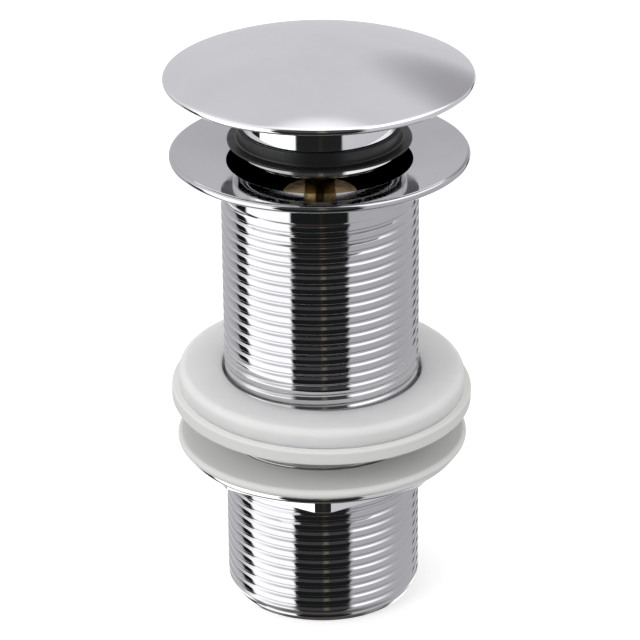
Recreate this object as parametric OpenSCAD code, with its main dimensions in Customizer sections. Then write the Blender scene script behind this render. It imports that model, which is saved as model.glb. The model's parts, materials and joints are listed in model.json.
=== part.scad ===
// Pop up basin waste: a chromed body with a threaded tail, a push-to-close plug on a click
// cartridge, and the gasket, slip washer and flanged back nut that clamp it in a basin.
// The tail's end stands on Z = 0 and the axis is +Z. The plug is drawn open.

/* [Waste body] */
// Outside diameter of the tail, over the thread's crests
tail_d = 41.9; // [41:0.1:46]
// Length of the tail below the flange
tail_l = 101; // [95:0.5:130]
// Outside diameter of the flange
flange_d = 63.3; // [58:0.1:64]
// Thickness of the flange, whose rim is a full round
flange_t = 1.6; // [1.2:0.1:2.4]
// Depth of the flange's dish at the mouth of the throat
dish_t = 2; // [1:0.1:2.2]
// Inside diameter of the flat seat under the flange's rim
seat_d = 55; // [52:0.5:57]
// Height of the cone between that seat and the tail
cone_h = 2.4; // [2:0.1:4]
// Bore of the throat that the plug drops into
throat_d = 39.2; // [38.8:0.1:39.6]
// Round on the mouth of the throat
mouth_r = 0.2; // [0.1:0.1:0.6]
// Bore of the outlet, below the ledge that carries the bridge
outlet_d = 36; // [33:0.5:37]
// Height of the lead-in at the end of the tail
lead_h = 3; // [1:0.1:5]
// Depth of the lead-in at the end of the tail
lead_w = 1.6; // [0.5:0.1:2]
// Length of the free thread that a trap screws onto
free_thread_l = 25.7; // [18:0.1:27]
// Width of the relief above the free thread
relief_w = 1.6; // [1:0.1:3]
// Depth of the relief above the free thread
relief_t = 0.5; // [0.3:0.1:0.7]

/* [Plug] */
// Outside diameter of the cap
cap_d = 65.1; // [60:0.1:72]
// Height of the cap's dome over its rim
cap_h = 8.2; // [7:0.1:14]
// Thickness of the cap, whose rim is a full round
cap_t = 1.5; // [1:0.1:2]
// Height of the cap's rim over the flange when the plug is open
open_gap = 15.5; // [15:0.1:22]
// How far the plug drops to close
closed_drop = 13; // [8:0.1:13.4]
// How much further the plug is pressed to click
over_press = 1.5; // [1.2:0.1:1.6]
// Outside diameter of the plug's neck
neck_d = 33.4; // [31:0.1:33.6]
// Inside diameter of the plug's neck
neck_bore_d = 28.4; // [22:0.1:29]
// Distance from the cap's rim down to the neck's shoulder
neck_drop = 9.7; // [6:0.1:10]
// How far the neck stands up inside the cap
neck_up = 1.9; // [1:0.1:2.5]
// Thickness of the neck's top
web_t = 2.5; // [2:0.1:4]
// Diameter of the spigot that the seal is fitted on
spigot_d = 31.2; // [30.4:0.1:31.4]
// Height of the lip seal
seal_h = 3.5; // [3:0.1:5]
// Outside diameter of the seal's collar
seal_collar_d = 34.8; // [33.8:0.1:35.4]
// Thickness of the seal's lip, whose edge is a full round
lip_t = 0.6; // [0.4:0.1:1]
// Round where the lip leaves the collar
lip_root = 0.4; // [0.2:0.1:0.8]
// Height of the ring that holds the seal
retainer_h = 2.4; // [1.6:0.1:8]
// Outside diameter of the ring that holds the seal
retainer_d = 34.4; // [33.8:0.1:35]
// Diameter of the boss under the cap
cap_boss_d = 18; // [14:0.5:22]
// Diameter of the cap's stud
stud_d = 8; // [6:0.5:8]
// How far the stud screws into the push rod
stud_grip = 7; // [5:0.5:8]
// Room left below the stud in the push rod
stud_room = 1; // [0.5:0.1:2]
// Thickness of the washer under the cap's boss
cap_washer_t = 1; // [0.5:0.1:1.5]

/* [Click cartridge] */
// Height of the push rod's hexagon head
rod_head_h = 10; // [9:0.5:12]
// Width across the flats of the push rod's head
rod_head_af = 13; // [12:0.5:16]
// Diameter of the push rod
rod_d = 6.4; // [5:0.1:7]
// Diameter of the rod's journal in the track drum
journal_d = 4; // [3:0.1:4.2]
// Outside diameter of the barrel
barrel_d = 15.6; // [15.4:0.1:16.4]
// Inside diameter of the barrel
barrel_bore_d = 12.6; // [12.2:0.1:13]
// Height of the barrel's hexagon foot
foot_h = 4; // [3:0.5:6]
// Width across the flats of the barrel's foot
foot_af = 14; // [13:0.1:14.4]
// Diameter of the shank below the barrel
shank_d = 10; // [8:0.5:10]
// Height of the guide bush's head
bush_head_h = 1.5; // [1:0.1:2.5]
// Depth of the guide bush in the barrel
bush_h = 3; // [2:0.1:4]
// Diameter of the pin that runs in the drum's track
pin_d = 2; // [1.6:0.1:2]
// Depth of the drum's track
track_t = 1.2; // [0.9:0.1:1.3]
// Land left above and below the drum's track
track_land = 1.6; // [1.2:0.1:2.5]
// Number of press and release cycles round the drum
track_cycles = 3; // [3]
// Angle between the bottom of a stroke and the rest beside it
rest_turn = 15; // [14:0.5:16]
// Thickness of the drum's top
drum_web_t = 6; // [4.5:0.1:7]
// Thickness of the washer under the drum's top
drum_washer_t = 0.6; // [0.4:0.1:1]
// Thickness of the rod's retaining clip
clip_t = 0.8; // [0.6:0.1:1]
// Depth of the clip's groove in the journal
clip_groove_t = 0.4; // [0.3:0.05:0.5]
// Length of the return spring when the plug is open
spring_l = 30; // [27:0.5:32]
// Outside diameter of the return spring
spring_d = 6.8; // [6:0.1:7]
// Wire of the return spring
wire_d = 0.9; // [0.7:0.05:1]
// Turns of the return spring
spring_turns = 9; // [7:1:11]

/* [Bridge] */
// Height of the bridge's hub
hub_h = 8; // [6:0.5:10]
// Diameter of the bridge's hub
hub_d = 15; // [14:0.1:16]
// Height of the bridge's ring
ring_h = 6; // [4:0.5:8]
// Thickness of the bridge's ring
ring_t = 2.1; // [1.5:0.1:2.4]
// Number of arms
arms = 4; // [4]
// Width of an arm
arm_w = 3; // [2:0.1:3.2]
// Thickness of the lock washer
lock_washer_t = 1.2; // [0.8:0.1:2]
// Diameter of the lock washer
lock_washer_d = 15; // [14:0.1:16]
// Height of the lock nut
lock_nut_h = 5; // [4:0.5:6]
// Length of the barrel's shank that stands out of the lock nut
shank_out = 1; // [0.5:0.1:1.5]
// Height of the shank's end over the ledge that carries the bridge
ledge_drop = 0.8; // [0.4:0.1:1.2]
// Width across the flats of the lock nut
lock_nut_af = 14; // [13:0.1:14.4]

/* [Clamping set] */
// Height of the back nut's lower end over the end of the tail
nut_place = 29.2; // [29:0.1:34]
// Height of the back nut's hexagon
hex_h = 4.9; // [4:0.1:8]
// Width across the flats of the back nut
hex_af = 44.6; // [44:0.1:50]
// Diameter that the hexagon's corners are turned to
hex_corner_d = 49.6; // [49:0.1:54]
// Diameter of the back nut's flange
nut_flange_d = 60.2; // [56:0.1:64]
// Thickness of the back nut's flange, whose rim is a full round
nut_flange_t = 1.8; // [1.2:0.1:3]
// How far the slip washer's rim stays inside the flange's
washer_inset = 0.3; // [0:0.1:2]
// Thickness of the slip washer
washer_t = 2; // [1.4:0.1:3]
// Space between the slip washer and the gasket
gasket_gap = 7.7; // [2:0.1:12]
// Diameter of the gasket's backing ring
backing_d = 64.7; // [60:0.1:64.9]
// Thickness of the gasket's backing ring
backing_t = 3.1; // [2:0.1:5]
// Diameter of the gasket
gasket_d = 61.7; // [56:0.1:64]
// Thickness of the gasket
gasket_t = 4.2; // [3.6:0.1:7]
// Round on the gasket's upper edge
gasket_round = 1.6; // [1:0.1:3.4]
// Round on the edges of the backing ring
backing_edge = 0.5; // [0.2:0.1:0.6]
// Lean of the gasket and its ring as they hang loose on the tail, in degrees
gasket_lean = 2.4; // [0:0.1:3]
// Side that they lean towards, in degrees from +X
lean_side = -57; // [-180:1:180]

/* [Clearances] */
// Radial clearance of the back nut on the tail
nut_gap = 0.1; // [0.05:0.05:0.15]
// Radial clearance of the slip washer on the tail
washer_gap = 0.3; // [0.2:0.05:0.5]
// Radial clearance of the gasket and its ring on the tail
gasket_slack = 0.6; // [0.4:0.05:0.8]
// Radial clearance of the lip seal in the throat
lip_gap = 0.15; // [0.15:0.05:0.3]
// Radial clearance of pieces that slide or turn in the cartridge
slide_gap = 0.1; // [0.05:0.01:0.15]
// Radial clearance of pieces that are pressed or screwed together
seat_gap = 0.03; // [0.02:0.01:0.05]
// Clearance of the pin on each side of its track
track_gap = 0.3; // [0.25:0.05:0.35]
// Clearance ahead of a stop
stop_gap = 0.2; // [0.15:0.05:0.4]

/* [Hidden] */
$fn = 64;
// Overlap that lets a cut run out past a face, or one shape run into the next
cut = 1;

// Heights of the body and the plug, from the tail's end up
travel = closed_drop + over_press;
flange_top = tail_l + flange_t;
mouth_top = flange_top - dish_t;
cap_rim = flange_top + open_gap;
neck_shoulder = cap_rim - neck_drop;
neck_top = cap_rim + neck_up;
seal_base = neck_shoulder - seal_h;
spigot_base = seal_base - retainer_h;
head_top = neck_top - web_t;
head_base = head_top - rod_head_h;

// Heights of the click cartridge, from the rod's head down
bush_top = head_base - travel - stop_gap;
barrel_top = bush_top - bush_head_h;
drum_top = barrel_top - bush_h - stop_gap;
track_w = pin_d + 2 * track_gap;
drum_l = travel + track_w + 2 * track_land;
drum_base = drum_top - drum_l;
track_base = drum_base + track_land + track_w / 2;
clip_top = drum_top - drum_web_t - drum_washer_t;
spring_top = clip_top - clip_t;
barrel_floor = spring_top - spring_l;
hub_top = barrel_floor - foot_h;
hub_base = hub_top - hub_h;
lock_nut_top = hub_base - lock_washer_t;
shank_end = lock_nut_top - lock_nut_h - shank_out;
ledge = shank_end - ledge_drop;

// Heights of the clamping set
nut_flange_base = nut_place + hex_h;
washer_base = nut_flange_base + nut_flange_t;
backing_base = washer_base + washer_t + gasket_gap;
gasket_base = backing_base + backing_t;
gasket_top = gasket_base + gasket_t;

// Radii that several pieces share
tail_r = tail_d / 2;
throat_r = throat_d / 2;
neck_r = neck_d / 2;
washer_r = flange_d / 2 - washer_inset;
spigot_r = spigot_d / 2;
barrel_r = barrel_d / 2;
drum_r = barrel_bore_d / 2 - 2 * slide_gap;
track_root = drum_r - track_t;
drum_bore_r = spring_d / 2 + 2 * slide_gap;
journal_r = journal_d / 2;
clip_r = drum_bore_r - slide_gap;
stud_r = stud_d / 2;
cap_edge = cap_t / 2;

// Radius of the dome that meets the cap's round rim without a step
rim_in = cap_d / 2 - cap_edge;
dome_up = cap_h - cap_edge;
dome_r = (rim_in * rim_in + dome_up * dome_up - cap_edge * cap_edge) / (2 * (dome_up - cap_edge));
dome_centre = cap_rim + cap_h - dome_r;

CHROME = [0.80, 0.80, 0.83];
BRASS = [0.78, 0.62, 0.30];
STEEL = [0.60, 0.61, 0.63];
RUBBER = [0.13, 0.13, 0.13];
WHITE = [0.93, 0.93, 0.92];
ACETAL = [0.85, 0.84, 0.78];
FIBRE = [0.55, 0.18, 0.14];

// Half section of a flat ring
module section(r_in, r_out, base, h) {
    translate([r_in, base]) square([r_out - r_in, h]);
}

// Plain turned ring
module ring(r_in, r_out, base, h) {
    rotate_extrude() section(r_in, r_out, base, h);
}

// Half section of a ring whose two outer edges are rounded
module soft_section(r_in, r_out, base, h, edge) {
    section(r_in, r_out - edge, base, h);
    section(r_in, r_out, base + edge, h - 2 * edge);
    for (z = [base + edge, base + h - edge])
        translate([r_out - edge, z]) circle(edge);
}

// Half section of a flange whose rim is a full round
module rim_section(r_in, r_out, base, h) {
    section(r_in, r_out - h / 2, base, h);
    translate([r_out - h / 2, base + h / 2]) circle(h / 2);
}

// Upright hexagon bar with a flat facing +X
module hexagon(af, base, h) {
    translate([0, 0, base]) rotate(30) cylinder(r = af / sqrt(3), h = h, $fn = 6);
}

// Dished flange and threaded tail, turned from one piece
module waste_body() {
    outlet_r = outlet_d / 2;
    cone_base = tail_l - cone_h;
    dish_in = throat_r + mouth_r;
    dish_out = (flange_d - flange_t) / 2;
    color(CHROME)
    rotate_extrude()
    difference() {
        union() {
            rim_section(outlet_r, flange_d / 2, tail_l, flange_t);
            polygon([[outlet_r, cone_base], [tail_r, cone_base], [seat_d / 2, tail_l], [outlet_r, tail_l]]);
            section(outlet_r, tail_r, lead_h, tail_l - lead_h);
            polygon([[outlet_r, 0], [tail_r - lead_w, 0], [tail_r, lead_h], [outlet_r, lead_h]]);
        }
        polygon([[0, mouth_top], [dish_in, mouth_top], [dish_out, flange_top],
                 [dish_out, flange_top + cut], [0, flange_top + cut]]);
        section(0, throat_r, ledge, flange_top - ledge + cut);
        difference() {
            section(throat_r - cut, dish_in, mouth_top - mouth_r, mouth_r);
            translate([dish_in, mouth_top - mouth_r]) circle(mouth_r);
        }
        section(tail_r - relief_t, tail_r + cut, lead_h + free_thread_l, relief_w);
    }
}

// Spider that stands on the body's ledge and carries the cartridge
module cross_bridge() {
    ring_r = throat_r - seat_gap;
    arm_in = hub_d / 2 - cut;
    arm_out = ring_r - ring_t / 2;
    washer_clear = lock_washer_d / 2 + stop_gap;
    color(BRASS)
    difference() {
        union() {
            ring(ring_r - ring_t, ring_r, ledge, ring_h);
            ring(shank_d / 2, hub_d / 2, hub_base, hub_h);
            for (i = [0 : arms - 1])
                rotate(45 + i * 360 / arms) rotate([90, 0, 0])
                linear_extrude(arm_w, center = true)
                polygon([[arm_in, hub_base], [washer_clear, hub_base], [arm_out, ledge],
                         [arm_out, ledge + ring_h], [arm_in, hub_top]]);
        }
        translate([0, 0, hub_base - cut]) cylinder(r = shank_d / 2 + slide_gap, h = hub_h + 2 * cut);
    }
}

// Barrel of the cartridge, with its hexagon foot, spring guide and threaded shank
module core_barrel() {
    guide_r = spring_d / 2 - wire_d - slide_gap;
    guide_h = 4;
    tube_base = barrel_floor - foot_h / 2;
    color(BRASS)
    difference() {
        union() {
            hexagon(foot_af, hub_top, foot_h);
            ring(barrel_bore_d / 2, barrel_r, tube_base, barrel_top - tube_base);
            translate([0, 0, shank_end]) cylinder(r = shank_d / 2, h = hub_top - shank_end + foot_h / 2);
            translate([0, 0, tube_base]) cylinder(r = guide_r, h = guide_h + foot_h / 2);
        }
        translate([0, 0, track_base]) rotate([0, 90, 0]) cylinder(r = pin_d / 2 + seat_gap, h = barrel_d);
    }
}

// Bush that guides the rod and stops the drum at the top of its stroke
module guide_bush() {
    bore_r = rod_d / 2 + slide_gap;
    plug_r = barrel_bore_d / 2 - seat_gap;
    color(BRASS)
    rotate_extrude() {
        section(bore_r, plug_r, barrel_top - bush_h, bush_h + bush_head_h / 2);
        section(bore_r, barrel_r, barrel_top, bush_head_h);
    }
}

// Fixed pin that the drum's track runs on
module track_pin() {
    pin_in = track_root + track_gap;
    color(STEEL)
    translate([pin_in, 0, track_base]) rotate([0, 90, 0]) cylinder(r = pin_d / 2, h = barrel_r - pin_in);
}

// Split spring washer under the bridge's hub
module lock_washer() {
    split_w = 1;
    color(STEEL)
    difference() {
        ring(shank_d / 2 + slide_gap, lock_washer_d / 2, lock_nut_top, lock_washer_t);
        translate([0, -split_w / 2, lock_nut_top - cut])
            cube([lock_washer_d, split_w, lock_washer_t + 2 * cut]);
    }
}

// Hexagon nut on the barrel's shank
module lock_nut() {
    base = lock_nut_top - lock_nut_h;
    color(BRASS)
    difference() {
        hexagon(lock_nut_af, base, lock_nut_h);
        translate([0, 0, base - cut]) cylinder(r = shank_d / 2 + seat_gap, h = lock_nut_h + 2 * cut);
    }
}

// Height of the spring's wire after a number of turns, with a closed turn at each end
function spring_rise(turn) =
    let (open_turns = spring_turns - 2, open_rise = spring_l - 3 * wire_d)
    wire_d / 2 + (turn < 1 ? turn * wire_d
        : turn > spring_turns - 1 ? wire_d + open_rise + (turn - spring_turns + 1) * wire_d
        : wire_d + (turn - 1) * open_rise / open_turns);

// Return spring, a round wire swept along its helix
module return_spring() {
    sides = 8;
    steps = 16;
    rings = spring_turns * steps;
    coil_r = (spring_d - wire_d) / 2;
    points = [for (k = [0 : rings], s = [0 : sides - 1])
        let (around = 360 * k / steps, across = 360 * s / sides,
             r = coil_r + wire_d / 2 * cos(across), z = spring_rise(k / steps) + wire_d / 2 * sin(across))
        [r * cos(around), r * sin(around), barrel_floor + z]];
    skin = [for (k = [0 : rings - 1], s = [0 : sides - 1])
        let (a = k * sides + s, b = k * sides + (s + 1) % sides)
        each [[a, a + sides, b], [b, a + sides, b + sides]]];
    first_end = [[for (s = [0 : sides - 1]) s]];
    last_end = [[for (s = [0 : sides - 1]) rings * sides + sides - 1 - s]];
    color(STEEL) polyhedron(points, concat(skin, first_end, last_end));
}

// Domed cap with the boss and stud that hold it on the push rod
module plug_cap() {
    to_rim = [rim_in, cap_rim + cap_edge - dome_centre];
    boss_base = neck_top + cap_washer_t;
    inner_r = dome_r - cap_t;
    color(CHROME)
    rotate_extrude() {
        translate([0, dome_centre])
        intersection() {
            difference() {
                circle(dome_r);
                circle(inner_r);
            }
            polygon([[0, 0], 2 * to_rim, [0, 2 * dome_r]]);
        }
        translate([rim_in, cap_rim + cap_edge]) circle(cap_edge);
        intersection() {
            section(0, cap_boss_d / 2, boss_base, cap_h);
            translate([0, dome_centre]) circle(dome_r - cap_edge);
        }
        section(0, stud_r, head_top - stud_grip, boss_base - head_top + stud_grip + cut);
    }
}

// Washer between the cap's boss and the neck
module cap_washer() {
    color(FIBRE) ring(stud_r + slide_gap, cap_boss_d / 2, neck_top, cap_washer_t);
}

// Neck of the plug: a turned cup with a spigot for the seal
module plug_neck() {
    bore_r = neck_bore_d / 2;
    top_round = 1;
    color(CHROME)
    rotate_extrude() {
        section(bore_r, spigot_r, spigot_base, neck_shoulder - spigot_base + cut);
        section(bore_r, neck_r, neck_shoulder, head_top - neck_shoulder + cut);
        section(stud_r + slide_gap, neck_r - top_round, head_top, web_t);
        section(bore_r, neck_r, head_top, web_t - top_round);
        translate([neck_r - top_round, neck_top - top_round]) circle(top_round);
    }
}

// Rubber seal: a collar on the spigot with a thin flat lip that wipes the throat
module lip_seal() {
    r_in = spigot_r + seat_gap;
    collar_r = seal_collar_d / 2;
    lip_top = seal_base + lip_t;
    color(RUBBER)
    rotate_extrude() {
        section(r_in, collar_r, seal_base, seal_h);
        rim_section(r_in, throat_r - lip_gap, seal_base, lip_t);
        difference() {
            section(r_in, collar_r + lip_root, seal_base, lip_t + lip_root);
            translate([collar_r + lip_root, lip_top + lip_root]) circle(lip_root);
        }
    }
}

// Ring screwed on the spigot to hold the seal
module seal_retainer() {
    bevel = 0.8;
    r_in = spigot_r + seat_gap;
    r_out = retainer_d / 2;
    color(CHROME)
    rotate_extrude()
    polygon([[r_in, spigot_base], [r_out - bevel, spigot_base], [r_out, spigot_base + bevel],
             [r_out, seal_base], [r_in, seal_base]]);
}

// Push rod: hexagon head under the neck, guided stem and journal for the drum
module push_rod() {
    journal_end = spring_top - clip_groove_t;
    socket_l = stud_grip + stud_room;
    color(BRASS)
    difference() {
        union() {
            hexagon(rod_head_af, head_base, rod_head_h);
            translate([0, 0, drum_top]) cylinder(r = rod_d / 2, h = head_base - drum_top + cut);
            translate([0, 0, journal_end]) cylinder(r = journal_r, h = drum_top - journal_end + cut);
        }
        translate([0, 0, head_top - socket_l]) cylinder(r = stud_r + seat_gap, h = socket_l + cut);
        ring(journal_r - clip_groove_t, journal_r + cut, spring_top, clip_t);
    }
}

// Thin washer that lets the drum turn over the clip
module drum_washer() {
    color(STEEL) ring(journal_r + slide_gap, clip_r, clip_top, drum_washer_t);
}

// Open clip in the journal's groove
module rod_clip() {
    mouth_w = journal_d - 2 * clip_groove_t;
    groove_r = journal_r - clip_groove_t + seat_gap;
    color(STEEL)
    difference() {
        ring(groove_r, clip_r, spring_top, clip_t);
        translate([0, -mouth_w / 2, spring_top - cut]) cube([clip_r + cut, mouth_w, clip_t + 2 * cut]);
    }
}

// Height of the track's middle line, mirrored about the rest of each cycle
function track_height(turn) =
    let (half = 180 / track_cycles, off = abs((turn + 360) % (2 * half) - half))
    off < rest_turn ? closed_drop + over_press * off / rest_turn
        : travel * (half - off) / (half - rest_turn);

// Upper (side 1) or lower (side -1) edge of the track: the pin's clearance circle swept along it
function track_edge(turn, side) =
    let (reach = track_w / 2, samples = 8)
    side * max([for (k = [-samples : samples])
        let (shift = reach * k / samples)
        side * track_height(turn + shift / drum_r * 180 / PI) + sqrt(reach * reach - shift * shift)]);

// Closed zigzag track round the drum, as the space to cut
module track_space() {
    steps = 120;
    points = [for (i = [0 : steps - 1])
        let (turn = i * 360 / steps,
             low = track_base + track_edge(turn, -1), high = track_base + track_edge(turn, 1))
        each [for (p = [[track_root, low], [drum_r + cut, low], [drum_r + cut, high], [track_root, high]])
            [p[0] * cos(turn), p[0] * sin(turn), p[1]]]];
    skin = [for (i = [0 : steps - 1], c = [0 : 3])
        let (a = 4 * i + c, b = 4 * i + (c + 1) % 4, over = 4 * ((i + 1) % steps) - 4 * i)
        each [[a, b, a + over], [b, b + over, a + over]]];
    polyhedron(points, skin);
}

// Drum that turns as it is pressed: down a run, up into the rest, and back up the next run
module track_drum() {
    color(ACETAL)
    difference() {
        translate([0, 0, drum_base]) cylinder(r = drum_r, h = drum_l);
        translate([0, 0, drum_base - cut]) cylinder(r = drum_bore_r, h = drum_l - drum_web_t + cut);
        translate([0, 0, drum_base]) cylinder(r = journal_r + slide_gap, h = drum_l + cut);
        track_space();
    }
}

// Slip washer that rides on the back nut
module slip_washer() {
    color(WHITE)
    rotate_extrude() rim_section(tail_r + washer_gap, washer_r, washer_base, washer_t);
}

// Hexagon back nut with a wide flange, a corner towards -Y
module back_nut() {
    bore_r = tail_r + nut_gap;
    color(CHROME)
    difference() {
        union() {
            rotate_extrude() rim_section(tail_r, nut_flange_d / 2, nut_flange_base, nut_flange_t);
            intersection() {
                hexagon(hex_af, nut_place, hex_h + nut_flange_t / 2);
                translate([0, 0, nut_place]) cylinder(d = hex_corner_d, h = hex_h + nut_flange_t / 2);
            }
        }
        translate([0, 0, nut_place - cut]) cylinder(r = bore_r, h = hex_h + nut_flange_t + 2 * cut);
    }
}

// Leans the gasket and its ring about the middle of the pair
module leaned() {
    middle = (backing_base + gasket_top) / 2;
    translate([0, 0, middle]) rotate([0, gasket_lean, lean_side]) translate([0, 0, -middle]) children();
}

// Soft gasket with a round shoulder
module seat_gasket() {
    r_in = tail_r + gasket_slack;
    r_out = gasket_d / 2;
    color(WHITE)
    leaned() rotate_extrude() {
        section(r_in, r_out - gasket_round, gasket_base, gasket_t);
        section(r_in, r_out, gasket_base, gasket_t - gasket_round);
        translate([r_out - gasket_round, gasket_top - gasket_round])
        intersection() {
            circle(gasket_round);
            square(gasket_round);
        }
    }
}

// Firm ring that backs the gasket
module gasket_ring() {
    r_in = tail_r + gasket_slack;
    color(WHITE)
    leaned() rotate_extrude() soft_section(r_in, backing_d / 2, backing_base, backing_t, backing_edge);
}

waste_body();
cross_bridge();
core_barrel();
guide_bush();
track_pin();
lock_washer();
lock_nut();
return_spring();
plug_cap();
cap_washer();
plug_neck();
lip_seal();
seal_retainer();
push_rod();
drum_washer();
rod_clip();
track_drum();
slip_washer();
back_nut();
seat_gasket();
gasket_ring();
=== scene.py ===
"""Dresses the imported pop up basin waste: threads, chrome, rubber, white rings and a plain studio."""

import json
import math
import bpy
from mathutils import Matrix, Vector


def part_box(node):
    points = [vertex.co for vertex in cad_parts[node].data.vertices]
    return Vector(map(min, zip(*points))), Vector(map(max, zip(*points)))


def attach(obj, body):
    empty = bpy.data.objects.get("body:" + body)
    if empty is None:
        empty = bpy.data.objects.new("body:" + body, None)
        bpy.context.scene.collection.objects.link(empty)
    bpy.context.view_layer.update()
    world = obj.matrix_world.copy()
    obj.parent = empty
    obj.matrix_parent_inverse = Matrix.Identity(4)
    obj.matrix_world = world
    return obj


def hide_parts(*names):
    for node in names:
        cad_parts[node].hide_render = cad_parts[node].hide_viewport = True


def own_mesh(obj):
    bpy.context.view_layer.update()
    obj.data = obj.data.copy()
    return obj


bl_info = {
    "name": "Basin Waste Dressing",
    "version": (1, 0, 0),
    "blender": (4, 5, 0),
    "location": "View3D > Sidebar > Basin Waste",
    "description": "Adds the visible pieces, finishes and studio of a pop up basin waste",
    "category": "Object",
}

import bmesh
import bpy
from bpy.props import FloatProperty, FloatVectorProperty, IntProperty, PointerProperty
from mathutils import Matrix, Quaternion, Vector

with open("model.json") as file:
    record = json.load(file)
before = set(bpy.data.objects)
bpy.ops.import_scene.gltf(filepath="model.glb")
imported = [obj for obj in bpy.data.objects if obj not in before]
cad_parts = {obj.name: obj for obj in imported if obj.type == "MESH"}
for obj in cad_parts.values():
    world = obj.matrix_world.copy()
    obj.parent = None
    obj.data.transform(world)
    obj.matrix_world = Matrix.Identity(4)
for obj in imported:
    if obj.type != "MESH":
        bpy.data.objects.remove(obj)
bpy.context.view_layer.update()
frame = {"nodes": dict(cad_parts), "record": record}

MM = 0.001

# Steps along the arcs of the turned profiles
CORNER_STEPS = 4
RING_STEPS = 6
MOUTH_STEPS = 8
GASKET_STEPS = 8
LIP_STEPS = 12
RIM_STEPS = 16
CAP_RIM_STEPS = 20
UNDERSIDE_STEPS = 30
DOME_STEPS = 60

# Share of a pitch over which a thread's ends fade out
TAIL_FADE = 0.6
NUT_FADE = 0.5

# Limits of the mesh work, in metres: a radius that counts as the axis, how near two points merge, the
# shortest edge that is kept, and the rounding that a height may have
AXIS = 1e-7
MERGE = 2e-6
SLIVER = 1e-7
ROUNDING = 1e-9

# Sizes that the frame already holds, in metres
MOUNTS = {m["name"]: m for m in frame["record"]["mounts"]}
TAIL_R = MOUNTS["tail_thread"]["dims"]["r_mm"] * MM
OUTLET_R = MOUNTS["outlet_bore"]["dims"]["r_mm"] * MM
LEDGE_Z = MOUNTS["outlet_bore"]["dims"]["length_mm"] * MM
FLANGE_Z = MOUNTS["flange_seat"]["pos_m"][2]
BODY_OF = {n: b for b, ns in frame["record"]["behaviour"]["bodies"].items() for n in ns}
SLOT_OF = {s["node"]: s["material_slot"] for s in frame["record"]["subparts"]}

# The room that the chrome mirrors, in rings one above the other. A ring has stops of (degrees round from
# the front towards the right, colour), and the elevations in degrees where it starts and is full.
DARK = (0.014, 0.015, 0.015)
WARM_DARK = (0.05, 0.04, 0.035)
SHADE = (0.065, 0.065, 0.068)
DIM = (0.08, 0.08, 0.08)
GROUND = (0.11, 0.105, 0.10)
STRIP = (0.18, 0.165, 0.13)
GREY = (0.34, 0.33, 0.32)
EDGE = (0.50, 0.50, 0.52)
WALL = (0.57, 0.57, 0.59)
NEAR_WALL = (0.60, 0.60, 0.62)
PALE = (0.64, 0.63, 0.66)
GLOW = (1.15, 1.15, 1.16)
WHITE = (1.60, 1.60, 1.61)


def upper_ring(front, middle, back):
    """Stops of a ring above eye level, with a lamp on the left and a brighter one on the right."""
    return [
        (-180, back), (-150, back), (-125, (1.05, 1.05, 1.06)), (-100, (0.92, 0.92, 0.93)),
        (-48, (0.86, 0.86, 0.87)), (-40, front), (-3, front), (0, middle), (4, middle), (7, front),
        (34, front), (42, WHITE), (137, WHITE), (147, back), (180, back),
    ]


EYE_RING = [
    (-180, PALE), (-150, PALE), (-116, EDGE), (-112, DARK), (-97, DARK), (-93, WHITE), (-36, WHITE),
    (-34, DARK), (-2, DARK), (1, (0.030, 0.025, 0.019)), (4, DARK), (31.5, DARK), (34, NEAR_WALL),
    (125, WALL), (138, WALL), (141, DIM), (146, DIM), (150, PALE), (180, PALE),
]
RINGS = [
    ((-2, 8), [
        (-180, PALE), (-150, PALE), (-112, (0.80, 0.80, 0.81)), (-94, WHITE), (-36, WHITE), (-32, SHADE),
        (-3, SHADE), (0, STRIP), (4, STRIP), (7, SHADE), (29, SHADE), (33, (0.62, 0.62, 0.64)),
        (120, NEAR_WALL), (150, PALE), (180, PALE)]),
    ((28, 44), upper_ring(SHADE, STRIP, PALE)),
    ((60, 66), upper_ring(DARK, DARK, PALE)),
    ((62, 70), upper_ring(DARK, DARK, GLOW)),
    ((-28, -34), [
        (-180, WHITE), (-150, WHITE), (-116, EDGE), (-112, DARK), (-97, DARK), (-93, WHITE), (-36, WHITE),
        (-34, DARK), (31.5, DARK), (34, NEAR_WALL), (138, WALL), (155, WHITE), (180, WHITE)]),
    ((-46, -53), [
        (-180, DARK), (-150, DARK), (-130, GREY), (-50, GREY), (-36, WARM_DARK), (30, WARM_DARK),
        (50, GREY), (130, GREY), (150, DARK), (180, DARK)]),
    ((-62, -70), [(-180, GROUND), (180, GROUND)]),
]
# Soft patches over the rings, as (degrees round, elevation, reach in degrees, colour)
PATCHES = [
    (150, 26, 22, (0.38, 0.37, 0.39)),
    (0, 90, 12, WHITE),
]
# The light that falls on matt surfaces by height, as (elevation in degrees, share of the ambient light)
AMBIENT_STOPS = [(-10, 0.36), (0, 1.0), (35, 1.0), (60, 0.28)]

# The stage, in metres: the floor's reach from its middle, and each light's place and diameter
FLOOR_REACH = 4.0
OVERHEAD_AT = (-0.1, -0.05, 1.1)
OVERHEAD_SIZE = 0.9
FRONT_AT = (-0.75, -0.65, 0.7)
FRONT_SIZE = 0.6
# The camera's sensor in millimetres, and the nearest that it sees in metres
SENSOR_WIDTH = 36.0
NEAREST = 0.05

# Sockets of a colour Mix node, several of which share a name
MIX_FIRST = 6
MIX_SECOND = 7
MIX_RESULT = 2


def length(name, description, default):
    """A property that holds a size of the object, in metres."""
    return FloatProperty(name=name, description=description, default=default,
                         min=0.0, unit="LENGTH", precision=5)


def angle(name, description, degrees):
    """A property that holds an angle, with its default in degrees."""
    return FloatProperty(name=name, description=description, default=math.radians(degrees), subtype="ANGLE")


def colour(name, description, default):
    """A property that holds a colour."""
    return FloatVectorProperty(name=name, description=description, default=default, size=3,
                               min=0.0, max=1.0, subtype="COLOR")


def share(name, description, default):
    """A property that holds a number from 0 to 1."""
    return FloatProperty(name=name, description=description, default=default,
                         min=0.0, max=1.0, subtype="FACTOR")


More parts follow.
